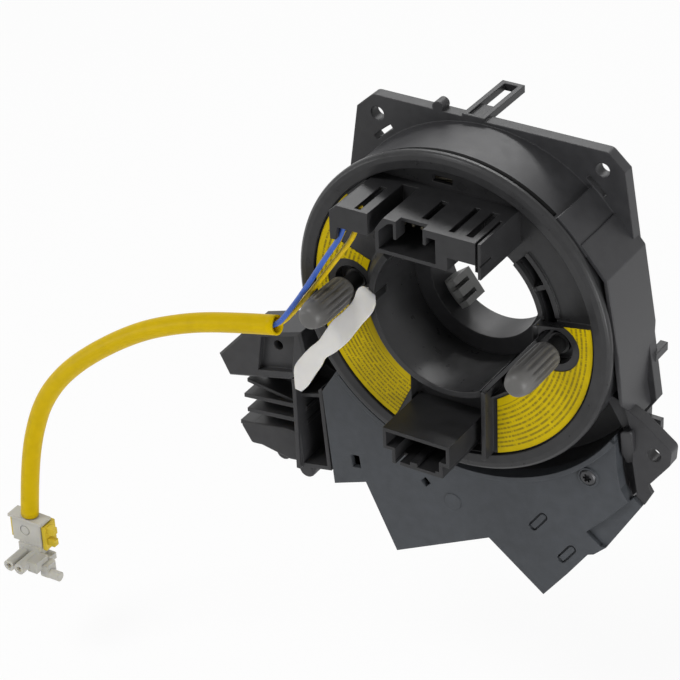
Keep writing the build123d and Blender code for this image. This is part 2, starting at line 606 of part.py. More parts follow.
def lower_connector():
    step = LOWER_SHOULDER, LOWER_FOOT

    def shape(inset):
        return outline(
            (LOWER_LEFT + inset, LOWER_HIGH - inset), (LOWER_RIGHT - inset, LOWER_HIGH - inset),
            (LOWER_RIGHT - inset, step[0] + inset), (FOOT_RIGHT - inset, step[0] + inset),
            (FOOT_RIGHT - inset, step[1] + inset), (FOOT_LEFT + inset, step[1] + inset),
            (FOOT_LEFT + inset, step[0] + inset), (LOWER_LEFT + inset, step[0] + inset),
        )

    body = slab(shape(0), FLOOR, LOWER_REACH)
    body -= slab(shape(SHELL), FLOOR + 6, LOWER_REACH + 1)
    floor = LOWER_FOOT + SHELL
    body += block(-4.0, -1.6, floor - 0.2, floor + 1.2, FLOOR + 6, LOWER_REACH)
    body += block(FOOT_RIGHT - 2.4, FOOT_RIGHT - 1.0, floor - 0.2, floor + 0.8, FLOOR + 6, LOWER_REACH)
    body -= block(-9.0, -7.6, LOWER_FOOT - 1, floor + 1, LOWER_REACH - 5, LOWER_REACH + 1)
    for x, y in lower_places():
        body -= Pos(x, y, FLOOR + 3) * Box(BLADE, BLADE, 12)
    return body


def lower_places():
    pitch = (LOWER_RIGHT - LOWER_LEFT - 6.0) / (LOWER_PINS - 1)
    return [(LOWER_LEFT + 3.0 + k * pitch, LOWER_SHOULDER + 3.4) for k in range(LOWER_PINS)]


def lower_terminals():
    length = 17.0
    return [Pos(x, y, FLOOR + length / 2) * Box(BLADE, BLADE, length) for x, y in lower_places()]


def drive_pin(x, y):
    """Stem with a collar, from the rotor floor into the cap."""
    body = disc(PIN_RADIUS, FLOOR, CAP_REAR, x, y)
    body += disc(PIN_RADIUS + 0.8, FLOOR, FLOOR + 1.5, x, y)
    body += disc(PIN_RADIUS - 0.6, FLOOR_REAR, CAP_REAR + CAP_LENGTH - 6, x, y)
    return body


def pin_cap(x, y):
    """Grey cap with flutes round it and a rounded nose, pushed over the pin."""
    front = CAP_REAR + CAP_LENGTH
    body = revolved(
        (0, CAP_REAR), (CAP_RADIUS - 0.3, CAP_REAR), (CAP_RADIUS, CAP_REAR + 1), (CAP_RADIUS, front - 7),
        (CAP_RADIUS - 0.8, front - 3), (CAP_RADIUS - 2.0, front - 0.8), (0, front),
    )
    for k in range(FLUTES):
        groove = Rot(0, 0, 360 / FLUTES * k) * disc(0.5, CAP_REAR + 1.6, front - 6, CAP_RADIUS + 0.1, 0)
        body -= groove
    body -= disc(PIN_RADIUS - 0.6, CAP_REAR - 1, front - 6)
    return Pos(x, y, 0) * body


LABEL_THICKNESS = 0.25
PIN_WINDOW = 8.0


def label_left():
    face = sector(LABEL_INNER, LABEL_OUTER, 138.0, 244.5)
    face -= sector(1.0, LABEL_OUTER - 6.7, 130.0, 159.0)
    face -= Pos(*pin_places()[0]) * Circle(PIN_WINDOW)
    edge = BAY[0] - 0.2
    face -= outline((edge, -20), (edge, -33.4), polar(LABEL_OUTER + 4.1, 243.4), (0, -60), (0, -20))
    largest = face.faces().sort_by(SortBy.AREA)[-2:]
    return [slab(part, FACE, FACE + LABEL_THICKNESS) for part in largest]


def label_right():
    face = sector(LABEL_INNER, LABEL_OUTER, -71.0, 10.0)
    face -= Pos(*pin_places()[1]) * Circle(PIN_WINDOW)
    edge = BAY[1] + 3.0
    face -= outline((edge, -20), (edge, -60), (0, -60), (0, -20))
    largest = face.faces().sort_by(SortBy.AREA)[-2:]
    return [slab(part, FACE, FACE + LABEL_THICKNESS) for part in largest]


def transport_tab():
    """White strip that locks the rotor in transit: a tongue in the hub, a bend and a pointed end."""
    heading = Vector(1, 0, 0).rotate(Axis.Z, TAB_HEADING)
    across = heading.rotate(Axis.Z, 90)
    root = Vector(*TAB_ROOT, 0)
    points = [root + heading * along + Vector(0, 0, height) for along, height in TAB_REACH]
    path = FilletPolyline(*points, radius=TAB_BEND)
    section = Plane(origin=points[0], x_dir=across, z_dir=FORWARDS) * Rectangle(TAB_WIDTH, TAB_THICKNESS)
    body = sweep(section, path)
    place = Pos(root.X, root.Y, 0) * Rot(0, 0, TAB_HEADING)
    end = TAB_REACH[-1][0]
    half = TAB_WIDTH / 2
    for side in (-1, 1):
        reach = 9.0 if side < 0 else 5.0
        corner = outline(
            (end + 2, side * 0.8), (end + 2, side * (half + 1)), (end - reach, side * (half + 1)),
            (end - reach, side * half), (end, side * 0.8),
        )
        body -= place * slab(corner, 20, 60)
        body -= place * block(-2, 2, min(side * (half - 1), side * (half + 1)),
                              max(side * (half - 1), side * (half + 1)), 20, HUB_FRONT - 1.4)
    return body


# Ribbon cable and the blocks it ends in
RIBBON_REAR = 6.5
RIBBON_START = HUB_RADIUS + 2.7
RIBBON_END = DRUM_BORE - 0.7
LEAD_BLOCK = 1.9


def ribbon_cable():
    """Spiral of half turns about two centres in turn, so that each meets the next smoothly."""
    halves = 2 * RIBBON_TURNS
    step = (RIBBON_END - RIBBON_START) / halves
    rims = []
    for side in (-RIBBON / 2, RIBBON / 2):
        arcs = []
        for k in range(halves):
            centre = (0.0, 0.0) if k % 2 == 0 else (step, 0.0)
            arcs.append(CenterArc(centre, RIBBON_START + k * step + side, 180 * (k % 2), 180))
        rims.append(arcs)
    inner, outer = rims
    ends = [Line(inner[0] @ 0, outer[0] @ 0), Line(inner[-1] @ 1, outer[-1] @ 1)]
    face = make_face([*inner, *outer, *ends])
    return Rot(0, 0, -90) * slab(face, RIBBON_REAR, RIBBON_REAR + RIBBON_WIDTH)


def inner_lead_block():
    """Potted end of the ribbon on the hub."""
    face = sector(HUB_RADIUS, HUB_RADIUS + LEAD_BLOCK, -97, -83)
    return slab(face, RIBBON_REAR - 1, RIBBON_REAR + RIBBON_WIDTH + 0.8)


def outer_lead_block():
    """Plug-in end of the ribbon in the duct between drum and lead box."""
    front = FLANGE_THICKNESS + LEAD_DUCT_HEIGHT
    low = -BOX_ARC - 3.5
    body = block(-LEAD_DUCT, LEAD_DUCT, low, -DRUM_BORE + 0.3, FLANGE_THICKNESS, front)
    for k in range(6):
        body -= block(-6.9 + 2.5 * k, -5.7 + 2.5 * k, low - 0.5, low + 1.5, FLANGE_THICKNESS + 2, front + 1)
    return body


# Airbag lead, as control points on the front view
SLEEVE_ROUTE = [
    (-50.7, -10.4), (-67.9, -14.4), (-85.6, -19.9), (-105.3, -29.3), (-129.4, -47.5),
    (-143.6, -64.4), (-151.0, -82.5), (-155.0, -102.0), (-156.65, -116.5),
]
WIRE_TAIL = (-157.17, -121.0)
WIRE_NECK = (-47.8, -9.7)
BLUE_HEAD = [(-22.9, 37.5), (-22.9, 30.2), (-32.4, 18.0), (-41.5, 3.6)]
YELLOW_HEAD = [(-19.2, 37.5), (-19.2, 30.2), (-30.6, 16.2), (-41.5, 3.6)]


def cord(name, route, height, section):
    """Tube of the given section through the control points, bent by tangent arcs."""
    points = [Vector(x, y, height) for x, y in route]
    radii = []
    for before, corner, after in zip(points, points[1:], points[2:]):
        turn = (corner - before).get_angle(after - corner)
        shorter = min((corner - before).length, (after - corner).length)
        radii.append(0.45 * shorter / tan(radians(turn / 2)))
    print(name, "bend radii", [round(radius, 1) for radius in radii])
    path = FilletPolyline(*points, radius=radii)
    start = Plane(origin=path @ 0, z_dir=path % 0)
    tube_body = sweep(start * section, path)
    ratio = tube_body.volume / section.area / path.length
    print(name, "length", round(path.length, 1), "volume ratio", round(ratio, 4))
    return tube_body


def wire(name, head, side):
    route = [*head, WIRE_NECK, *SLEEVE_ROUTE[1:-1], WIRE_TAIL]
    return cord(name, route, LEAD_PLANE + side * WIRE_SPREAD, Circle(WIRE_DIAMETER / 2))


def lead_sleeve():
    ring = Circle(SLEEVE_DIAMETER / 2) - Circle(SLEEVE_BORE / 2)
    return cord("lead_sleeve", SLEEVE_ROUTE, LEAD_PLANE, ring)


# Airbag plug, which hangs at the end of the lead
PLUG_X = -157.0
PLUG_TOP = -117.2
PLUG_REAR = 39.8
PLUG_FRONT = 44.6
BARREL_PITCH = 4.2
BARREL_RADIUS = 2.05
BARREL_DROP = 13.8
BARREL_END = 54.0
CONTACT_RADIUS = 1.0


def barrel_places():
    return [(PLUG_X + 1.0 + side * BARREL_PITCH / 2, PLUG_TOP - BARREL_DROP) for side in (-1, 1)]


def plug_body(wires):
    """Squib plug: collar and block on top, two contact barrels that point forwards, and a latch arm."""
    left, right = PLUG_X - 5.8, PLUG_X + 5.8
    low = PLUG_TOP - 10.0
    foot = PLUG_TOP - 16.2
    body = block(left, right, low, PLUG_TOP, PLUG_REAR, PLUG_FRONT)
    body += block(left - 1.2, right + 1.2, PLUG_TOP - 1.0, PLUG_TOP, PLUG_REAR - 0.4, PLUG_FRONT + 0.4)
    body += block(PLUG_X - 3.2, PLUG_X + 5.4, foot, low, PLUG_REAR + 0.3, PLUG_FRONT + 0.9)
    body += block(PLUG_X + 5.4, PLUG_X + 8.2, foot, foot + 2.4, PLUG_REAR + 0.3, PLUG_FRONT + 0.9)
    body -= disc(2.0, PLUG_FRONT - 0.25, PLUG_FRONT + 1, PLUG_X - 0.5, PLUG_TOP - 5.0)
    body += disc(1.6, PLUG_FRONT - 1, PLUG_FRONT, PLUG_X - 0.5, PLUG_TOP - 5.0)
    body += block(PLUG_X + 4.4, PLUG_X + 8.2, foot + 0.2, foot + 4.2, PLUG_FRONT, BARREL_END - 3)
    for x, y in barrel_places():
        body += disc(BARREL_RADIUS, PLUG_REAR + 0.3, BARREL_END, x, y)
    arm = Pos(PLUG_X + 11.0, foot - 1.4, PLUG_FRONT + 2.0) * Rot(0, 90, 0) * Cylinder(1.7, 7.0)
    arm += block(PLUG_X + 7.5, PLUG_X + 10.5, foot - 2.5, foot + 2.0, PLUG_FRONT - 1, PLUG_FRONT + 3.5)
    body += arm
    body -= Pos(PLUG_X + 8.0, foot - 1.4, PLUG_FRONT + 2.0) * Rot(0, 90, 0) * Cylinder(0.8, 4.0)
    for x, y in barrel_places():
        body -= disc(CONTACT_RADIUS, PLUG_FRONT, BARREL_END + 1, x, y)
    for piece in wires:
        body -= piece
    return body


def plug_contacts():
    contacts = []
    for x, y in barrel_places():
        spring = disc(CONTACT_RADIUS, PLUG_FRONT, BARREL_END - 0.6, x, y)
        contacts.append(spring - disc(CONTACT_RADIUS - 0.45, PLUG_FRONT + 1, BARREL_END, x, y))
    return contacts


def plug_lock():
    """Yellow clip round the back of the plug; it is pressed down to secure the contacts."""
    gap = LOOSE_FIT
    left, right = PLUG_X - 5.8 - gap, PLUG_X + 5.8 + gap
    top = PLUG_TOP - 1.0 - gap
    body = block(left - 1.2, right + 1.4, top - 9.0, top, PLUG_REAR - gap - 1.2, PLUG_REAR - gap)
    body += block(left - 1.2, left, top - 8.6, top, PLUG_REAR - gap - 0.2, PLUG_FRONT - 1.2)
    body += block(right, right + 1.4, top - 9.6, top, PLUG_REAR - gap - 0.2, PLUG_FRONT - 0.6)
    for rise in (0.6, 5.2):
        body += block(right + 1.0, right + 4.4, top - rise - 2.4, top - rise,
                      PLUG_REAR + 1.2, PLUG_REAR + 3.4)
    return body


def compound(pieces):
    return Compound(list(pieces))


blue = wire("blue_wire", BLUE_HEAD, 1)
yellow = wire("yellow_wire", YELLOW_HEAD, -1)

NODES = {
    "housing": housing(),
    "left_carrier": left_carrier(),
    "lower_cover": lower_cover(),
    "cover_screw": cover_screw(),
    "vehicle_connector": vehicle_connector(),
    "vehicle_terminals": compound(vehicle_terminals()),
    "lead_frame": lead_frame(),
    "ribbon_cable": ribbon_cable(),
    "outer_lead_block": outer_lead_block(),
    "rotor_face": rotor_face(),
    "rotor_sleeve": rotor_sleeve(),
    "cancel_cam": cancel_cam(),
    "centring_catch": centring_catch(),
    "inner_lead_block": inner_lead_block(),
    "upper_connector": upper_connector(),
    "upper_terminals": compound(upper_terminals()),
    "lower_connector": lower_connector(),
    "lower_terminals": compound(lower_terminals()),
    "label_left": compound(label_left()),
    "label_right": compound(label_right()),
    "drive_pin_left": drive_pin(*pin_places()[0]),
    "drive_pin_right": drive_pin(*pin_places()[1]),
    "pin_cap_left": pin_cap(*pin_places()[0]),
    "pin_cap_right": pin_cap(*pin_places()[1]),
    "transport_tab": transport_tab(),
    "blue_wire": blue,
    "yellow_wire": yellow,
    "lead_sleeve": lead_sleeve(),
    "plug_body": plug_body([blue, yellow]),
    "plug_contacts": compound(plug_contacts()),
    "plug_lock": plug_lock(),
}

os.makedirs("parts", exist_ok=True)
for name, piece in NODES.items():
    export_step(UPRIGHT * piece, f"parts/{name}.step")
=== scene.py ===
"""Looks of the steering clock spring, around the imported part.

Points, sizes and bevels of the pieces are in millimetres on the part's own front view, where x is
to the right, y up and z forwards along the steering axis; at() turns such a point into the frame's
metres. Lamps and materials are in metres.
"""

from math import cos, pi, radians, sin

import bmesh
import bpy
from mathutils import Matrix, Vector


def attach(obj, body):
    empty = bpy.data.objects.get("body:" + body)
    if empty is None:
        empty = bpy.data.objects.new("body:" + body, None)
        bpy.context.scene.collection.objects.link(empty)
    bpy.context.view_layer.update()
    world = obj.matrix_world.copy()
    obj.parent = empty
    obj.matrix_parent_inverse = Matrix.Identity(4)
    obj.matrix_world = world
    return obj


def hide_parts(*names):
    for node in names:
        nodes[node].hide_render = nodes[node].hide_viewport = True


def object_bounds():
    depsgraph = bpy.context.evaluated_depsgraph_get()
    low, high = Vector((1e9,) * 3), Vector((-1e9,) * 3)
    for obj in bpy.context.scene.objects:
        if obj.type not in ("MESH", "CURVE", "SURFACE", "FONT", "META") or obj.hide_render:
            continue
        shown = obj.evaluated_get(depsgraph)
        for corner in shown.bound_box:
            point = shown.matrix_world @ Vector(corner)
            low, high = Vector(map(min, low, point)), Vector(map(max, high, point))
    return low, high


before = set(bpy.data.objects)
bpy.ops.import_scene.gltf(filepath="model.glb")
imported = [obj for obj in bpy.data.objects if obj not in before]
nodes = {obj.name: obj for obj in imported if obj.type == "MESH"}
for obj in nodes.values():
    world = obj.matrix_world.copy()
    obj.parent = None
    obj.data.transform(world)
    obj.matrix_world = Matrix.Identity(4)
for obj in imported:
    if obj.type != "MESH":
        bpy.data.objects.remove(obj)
cad_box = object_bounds()


def at(x, y, z):
    """Point of the front view as a place in the frame."""
    return Vector((x, -z, y)) / 1000


def placed(name, data):
    """Object with this data, linked into the scene."""
    made = bpy.data.objects.new(name, data)
    bpy.context.scene.collection.objects.link(made)
    return made


# Camera, fitted to the photograph
AZIMUTH, ELEVATION, ROLL = radians(33.46), radians(32.15), radians(-2.61)
TARGET = Vector((-35.30, -32.0, -16.52)) / 1000
DISTANCE = 0.8
FOCAL_PIXELS, FRAME_PIXELS, SENSOR = 2686.23, 680, 36.0

view = Vector((sin(AZIMUTH) * cos(ELEVATION), -cos(AZIMUTH) * cos(ELEVATION), sin(ELEVATION)))
right = Vector((cos(AZIMUTH), sin(AZIMUTH), 0))
up = view.cross(right)
turned_right = right * cos(ROLL) + up * sin(ROLL)
turned_up = up * cos(ROLL) - right * sin(ROLL)
lens = bpy.data.cameras.new("camera")
lens.lens = FOCAL_PIXELS * SENSOR / FRAME_PIXELS
lens.sensor_width = SENSOR
lens.clip_start, lens.clip_end = 0.05, 20
camera = placed("camera", lens)
camera.matrix_world = Matrix.Translation(TARGET + view * DISTANCE) @ Matrix(
    (turned_right, turned_up, view)).transposed().to_4x4()
bpy.context.scene.camera = camera
bpy.context.scene.view_settings.view_transform = "Standard"


# Light: a key lamp above on the left, a fill from the left, a low lamp on the right and a rim
# from above behind; each lamp has its place, its size and its power
def area_light(name, place, size, watts):
    """Soft lamp that points at the part."""
    lamp = bpy.data.lights.new(name, "AREA")
    lamp.shape = "RECTANGLE"
    lamp.size, lamp.size_y = size
    lamp.energy = watts
    holder = placed(name, lamp)
    holder.location = place
    holder.rotation_euler = (TARGET - holder.location).to_track_quat("-Z", "Y").to_euler()


LAMPS = {
    "key": ((-0.45, -0.55, 0.90), (0.35, 0.35), 5.5),
    "fill": ((-0.90, -0.60, 0.0), (0.4, 0.4), 2.5),
    "right_side": ((0.50, -0.25, -0.05), (0.25, 0.35), 2.6),
    "top_rear": ((-0.25, 0.65, 0.60), (0.7, 0.15), 3.5),
}
for name, (place, size, watts) in LAMPS.items():
    area_light(name, place, size, watts)

world = bpy.data.worlds.new("studio")
bpy.context.scene.world = world
world.use_nodes = True


def node(tree, kind, **values):
    """Adds a shader node; values are its properties or the defaults of its inputs."""
    made = tree.nodes.new(kind)
    for key, value in values.items():
        if hasattr(made, key):
            setattr(made, key, value)
        else:
            made.inputs[key.replace("_", " ")].default_value = value
    return made


def seen_directly(tree):
    """1 where the camera, a reflection or a refraction sees this, so that it shows as white."""
    path = node(tree, "ShaderNodeLightPath")
    either = node(tree, "ShaderNodeMath", operation="MAXIMUM")
    tree.links.new(path.outputs["Is Glossy Ray"], either.inputs[0])
    tree.links.new(path.outputs["Is Transmission Ray"], either.inputs[1])
    total = node(tree, "ShaderNodeMath", operation="MAXIMUM")
    tree.links.new(path.outputs["Is Camera Ray"], total.inputs[0])
    tree.links.new(either.outputs[0], total.inputs[1])
    return total.outputs[0]


SKY_AMBIENT = 0.3
sky = world.node_tree
sky.nodes.clear()
strength = node(sky, "ShaderNodeMapRange")
sky.links.new(seen_directly(sky), strength.inputs["Value"])
strength.inputs["To Min"].default_value = SKY_AMBIENT
strength.inputs["To Max"].default_value = 1.0
glow = node(sky, "ShaderNodeBackground", Color=(1, 1, 1, 1))
sky.links.new(strength.outputs["Result"], glow.inputs["Strength"])
sky.links.new(glow.outputs[0], node(sky, "ShaderNodeOutputWorld").inputs["Surface"])


# Floor, well below the part and white to the camera apart from a faint shadow
FLOOR_DROP, FLOOR_SIZE = 0.035, 8
FLOOR_COLOUR, FLOOR_WHITENESS = 0.86, 0.9
floor_height = cad_box[0][2] - FLOOR_DROP
bpy.ops.mesh.primitive_plane_add(size=FLOOR_SIZE, location=(0, 0, floor_height))
floor = bpy.context.object
floor.name = "floor"
pale = bpy.data.materials.new("pale_floor")
pale.use_nodes = True
tree = pale.node_tree
tree.nodes.clear()
matte = node(tree, "ShaderNodeBsdfDiffuse", Color=(FLOOR_COLOUR, FLOOR_COLOUR, FLOOR_COLOUR, 1))
white = node(tree, "ShaderNodeEmission", Strength=1.0)
blend = node(tree, "ShaderNodeMixShader")
share = node(tree, "ShaderNodeMapRange")
tree.links.new(seen_directly(tree), share.inputs["Value"])
share.inputs["To Min"].default_value = 0.0
share.inputs["To Max"].default_value = FLOOR_WHITENESS
tree.links.new(share.outputs["Result"], blend.inputs["Fac"])
tree.links.new(matte.outputs[0], blend.inputs[1])
tree.links.new(white.outputs[0], blend.inputs[2])
tree.links.new(blend.outputs[0], node(tree, "ShaderNodeOutputMaterial").inputs["Surface"])
floor.data.materials.append(pale)


# Materials
EDGE, SOFT_EDGE, EDGE_SAMPLES = 0.00025, 0.0005, 6
PATCH_SCALE, PATCH_DETAIL, GRAIN_DETAIL = 260, 5.0, 3.0
PATCH_DARK, PATCH_LIGHT = 0.3, 0.7
ROUGH_SPREAD, SKIN_BUMP = 0.08, 0.6
SCATTER_COLOURS, SCATTER_DEPTH = (1.0, 0.8, 0.3), 0.0012


def moulded(name, colour, rough, mottle=0.12, grain=2600, relief=0.00003, edge=EDGE, scatter=0.0,
            shine=0.5):
    """Moulded plastic: a slightly uneven colour and gloss, a fine skin texture and soft edges.

    mottle is the share by which the colour varies, grain the scale and relief the depth of the skin
    texture, edge the radius of the softened edges, scatter the weight of the light that passes
    below the skin, and shine the specular level.
    """
    made = bpy.data.materials.new(name)
    made.use_nodes = True
    tree = made.node_tree
    skin = tree.nodes["Principled BSDF"]
    skin.inputs["Specular IOR Level"].default_value = shine
    if scatter:
        skin.inputs["Subsurface Weight"].default_value = scatter
        skin.inputs["Subsurface Radius"].default_value = SCATTER_COLOURS
        skin.inputs["Subsurface Scale"].default_value = SCATTER_DEPTH
    place = node(tree, "ShaderNodeTexCoord")
    clouds = node(tree, "ShaderNodeTexNoise", Scale=PATCH_SCALE, Detail=PATCH_DETAIL)
    tree.links.new(place.outputs["Object"], clouds.inputs["Vector"])
    tint = node(tree, "ShaderNodeValToRGB")
    dark, light = tint.color_ramp.elements
    dark.position, light.position = PATCH_DARK, PATCH_LIGHT
    dark.color = (*[c * (1 - mottle) for c in colour], 1)
    light.color = (*[c * (1 + mottle) for c in colour], 1)
    tree.links.new(clouds.outputs["Fac"], tint.inputs["Fac"])
    tree.links.new(tint.outputs["Color"], skin.inputs["Base Color"])
    gloss = node(tree, "ShaderNodeMapRange")
    gloss.inputs["To Min"].default_value = rough - ROUGH_SPREAD
    gloss.inputs["To Max"].default_value = rough + ROUGH_SPREAD
    tree.links.new(clouds.outputs["Fac"], gloss.inputs["Value"])
    tree.links.new(gloss.outputs["Result"], skin.inputs["Roughness"])
    speckle = node(tree, "ShaderNodeTexNoise", Scale=grain, Detail=GRAIN_DETAIL)
    tree.links.new(place.outputs["Object"], speckle.inputs["Vector"])
    bump = node(tree, "ShaderNodeBump", Strength=SKIN_BUMP, Distance=relief)
    tree.links.new(speckle.outputs["Fac"], bump.inputs["Height"])
    if edge:
        rounding = node(tree, "ShaderNodeBevel", Radius=edge, samples=EDGE_SAMPLES)
        tree.links.new(rounding.outputs["Normal"], bump.inputs["Normal"])
    tree.links.new(bump.outputs["Normal"], skin.inputs["Normal"])
    return made


def metal(name, colour, rough):
    """Metal with the same slight unevenness as the plastics."""
    made = moulded(name, colour, rough, mottle=0.08, grain=4000, relief=0.00001)
    made.node_tree.nodes["Principled BSDF"].inputs["Metallic"].default_value = 1.0
    return made


# Print on the labels: the pitch of the rows, and half a line's width as a share of it
LABEL_ROW, LINE_SHARE = 0.00145, 0.23
# Noise that breaks the rows into dashes: its stretch along the arc, the shift from row to row, its
# scale, and the level above which there is ink
ARC_STRETCH, ROW_SHIFT, DASH_SCALE, DASH_DETAIL, DASH_LEVEL = 62.0, 7.3, 2.2, 2.0, 0.43
# Radii between which the labels are printed, and how strongly the ink covers
PRINT_INNER, PRINT_OUTER = 0.0312, 0.0445
INK_SHARE, INK = 0.7, (0.10, 0.075, 0.01, 1)


def printed_label():
    """Yellow film with rows of fine generic dashes that follow its arc."""
    made = moulded("label_film", (0.48, 0.355, 0.0), 0.42, mottle=0.06, grain=900, relief=0.00001,
                   shine=0.1)
    tree = made.node_tree
    skin = tree.nodes["Principled BSDF"]
    ground = skin.inputs["Base Color"].links[0].from_socket
    place = node(tree, "ShaderNodeTexCoord")
    parts = node(tree, "ShaderNodeSeparateXYZ")
    tree.links.new(place.outputs["Object"], parts.inputs[0])

    def calc(operation, first, second=None):
        made_node = node(tree, "ShaderNodeMath", operation=operation)
        for socket, value in zip(made_node.inputs, (first, second)):
            if value is None:
                continue
            if isinstance(value, (int, float)):
                socket.default_value = value
            else:
                tree.links.new(value, socket)
        return made_node.outputs[0]

    x, z = parts.outputs["X"], parts.outputs["Z"]
    radius = calc("SQRT", calc("ADD", calc("MULTIPLY", x, x), calc("MULTIPLY", z, z)))
    angle = calc("ARCTAN2", z, x)
    row = calc("DIVIDE", radius, LABEL_ROW)
    off_middle = calc("ABSOLUTE", calc("SUBTRACT", calc("FRACT", row), 0.5))
    line = calc("LESS_THAN", off_middle, LINE_SHARE)
    spot = node(tree, "ShaderNodeCombineXYZ")
    tree.links.new(calc("MULTIPLY", angle, ARC_STRETCH), spot.inputs["X"])
    tree.links.new(calc("MULTIPLY", calc("FLOOR", row), ROW_SHIFT), spot.inputs["Y"])
    breaks = node(tree, "ShaderNodeTexNoise", Scale=DASH_SCALE, Detail=DASH_DETAIL)
    tree.links.new(spot.outputs[0], breaks.inputs["Vector"])
    dash = calc("GREATER_THAN", breaks.outputs["Fac"], DASH_LEVEL)
    inside = calc("MULTIPLY", calc("GREATER_THAN", radius, PRINT_INNER),
                  calc("LESS_THAN", radius, PRINT_OUTER))
    ink = calc("MULTIPLY", calc("MULTIPLY", line, dash), calc("MULTIPLY", inside, INK_SHARE))
    mix = node(tree, "ShaderNodeMix", data_type="RGBA")
    tree.links.new(ink, mix.inputs["Factor"])
    tree.links.new(ground, mix.inputs["A"])
    mix.inputs["B"].default_value = INK
    tree.links.new(mix.outputs["Result"], skin.inputs["Base Color"])
    return made


black = moulded("black_plastic", (0.032, 0.032, 0.034), 0.42, edge=SOFT_EDGE, shine=0.25)
satin = moulded("rotor_plastic", (0.024, 0.024, 0.025), 0.30, edge=SOFT_EDGE, shine=0.25)
textured = moulded("cover_plastic", (0.045, 0.049, 0.055), 0.5, relief=0.00006, edge=SOFT_EDGE,
                   shine=0.25)
connector = moulded("connector_plastic", (0.021, 0.021, 0.022), 0.36, shine=0.25)
cap_grey = moulded("cap_plastic", (0.085, 0.083, 0.080), 0.45, edge=0, shine=0.4)
stem_black = moulded("pin_plastic", (0.012, 0.012, 0.012), 0.3, shine=0.3)
tab_white = moulded("tab_plastic", (0.60, 0.59, 0.57), 0.42, mottle=0.03, scatter=0.2, shine=0.3)
catch_grey = moulded("catch_plastic", (0.20, 0.20, 0.195), 0.45, shine=0.3)
plug_grey = moulded("plug_plastic", (0.46, 0.45, 0.41), 0.45, mottle=0.04, scatter=0.15, shine=0.3)
lock_yellow = moulded("lock_plastic", (0.58, 0.43, 0.03), 0.4, scatter=0.2, shine=0.2)
sleeve_yellow = moulded("sleeve_plastic", (0.56, 0.385, 0.0), 0.4, mottle=0.05, edge=0, shine=0.08)
wire_blue = moulded("blue_insulation", (0.035, 0.095, 0.38), 0.38, edge=0, shine=0.3)
wire_yellow = moulded("yellow_insulation", (0.55, 0.38, 0.0), 0.38, edge=0, shine=0.25)
film = moulded("ribbon_film", (0.55, 0.5, 0.4), 0.25, edge=0)
tinned = metal("terminal_metal", (0.62, 0.56, 0.42), 0.3)
shadow_black = moulded("shade_black", (0.004, 0.004, 0.004), 0.7, edge=0, shine=0.05)
steel = metal("screw_steel", (0.07, 0.07, 0.073), 0.48)
label = printed_label()

# Which node each finish is put on
FINISHES = {
    black: ["housing", "left_carrier", "lead_frame", "rotor_sleeve", "cancel_cam"],
    satin: ["rotor_face"],
    textured: ["lower_cover"],
    connector: ["upper_connector", "lower_connector", "vehicle_connector", "outer_lead_block",
                "inner_lead_block"],
    tinned: ["vehicle_terminals", "upper_terminals", "lower_terminals", "plug_contacts"],
    steel: ["cover_screw"],
    film: ["ribbon_cable"],
    catch_grey: ["centring_catch"],
    label: ["label_left", "label_right"],
    stem_black: ["drive_pin_left", "drive_pin_right"],
    cap_grey: ["pin_cap_left", "pin_cap_right"],
    tab_white: ["transport_tab"],
    wire_blue: ["blue_wire"],
    wire_yellow: ["yellow_wire"],
    sleeve_yellow: ["lead_sleeve"],
    plug_grey: ["plug_body"],
    lock_yellow: ["plug_lock"],
}
for finish, names in FINISHES.items():
    for name in names:
        nodes[name].data.materials.clear()
        nodes[name].data.materials.append(finish)


# Pieces in mesh code
BEVEL_SEGMENTS = 3


def round_edges(piece, width, segments):
    """Bevel on the sharp edges of a piece."""
    rounding = piece.modifiers.new("rounding", "BEVEL")
    rounding.width = width / 1000
    rounding.segments = segments
    rounding.limit_method = "ANGLE"
    rounding.harden_normals = True


def mesh_piece(name, points, faces, finish, body, bevel=0.0):
    """Mesh from points on the front view that rides on a body; bevel rounds its edges."""
    mesh = bpy.data.meshes.new(name)
    mesh.from_pydata([at(*point) for point in points], [], faces)
    shaped = bmesh.new()
    shaped.from_mesh(mesh)
    bmesh.ops.recalc_face_normals(shaped, faces=shaped.faces)
    shaped.to_mesh(mesh)
    shaped.free()
    mesh.materials.append(finish)
    piece = placed(name, mesh)
    for face in mesh.polygons:
        face.use_smooth = True
    if bevel:
        round_edges(piece, bevel, BEVEL_SEGMENTS)
    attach(piece, body)
    return piece


def prism(name, corners, rear, front, finish=black, body="housing",
          bevel=0.35):
    """Solid between two outlines; rear and front are one height or a list of heights."""
    count = len(corners)
    rears = rear if isinstance(rear, list) else [rear] * count
    fronts = front if isinstance(front, list) else [front] * count
    points = [(x, y, z) for (x, y), z in zip(corners, rears)]
    points += [(x, y, z) for (x, y), z in zip(corners, fronts)]
    faces = [list(range(count)), list(range(2 * count - 1, count - 1, -1))]
    faces += [[k, (k + 1) % count, (k + 1) % count + count, k + count] for k in range(count)]
    return mesh_piece(name, points, faces, finish, body, bevel)


BOSS_SIDES = 40


def boss(name, x, y, radius, rear, front, bevel):
    """Round boss of the housing."""
    turns = [2 * pi * k / BOSS_SIDES for k in range(BOSS_SIDES)]
    ring = [(x + radius * cos(turn), y + radius * sin(turn)) for turn in turns]
    return prism(name, ring, rear, front, bevel=bevel)


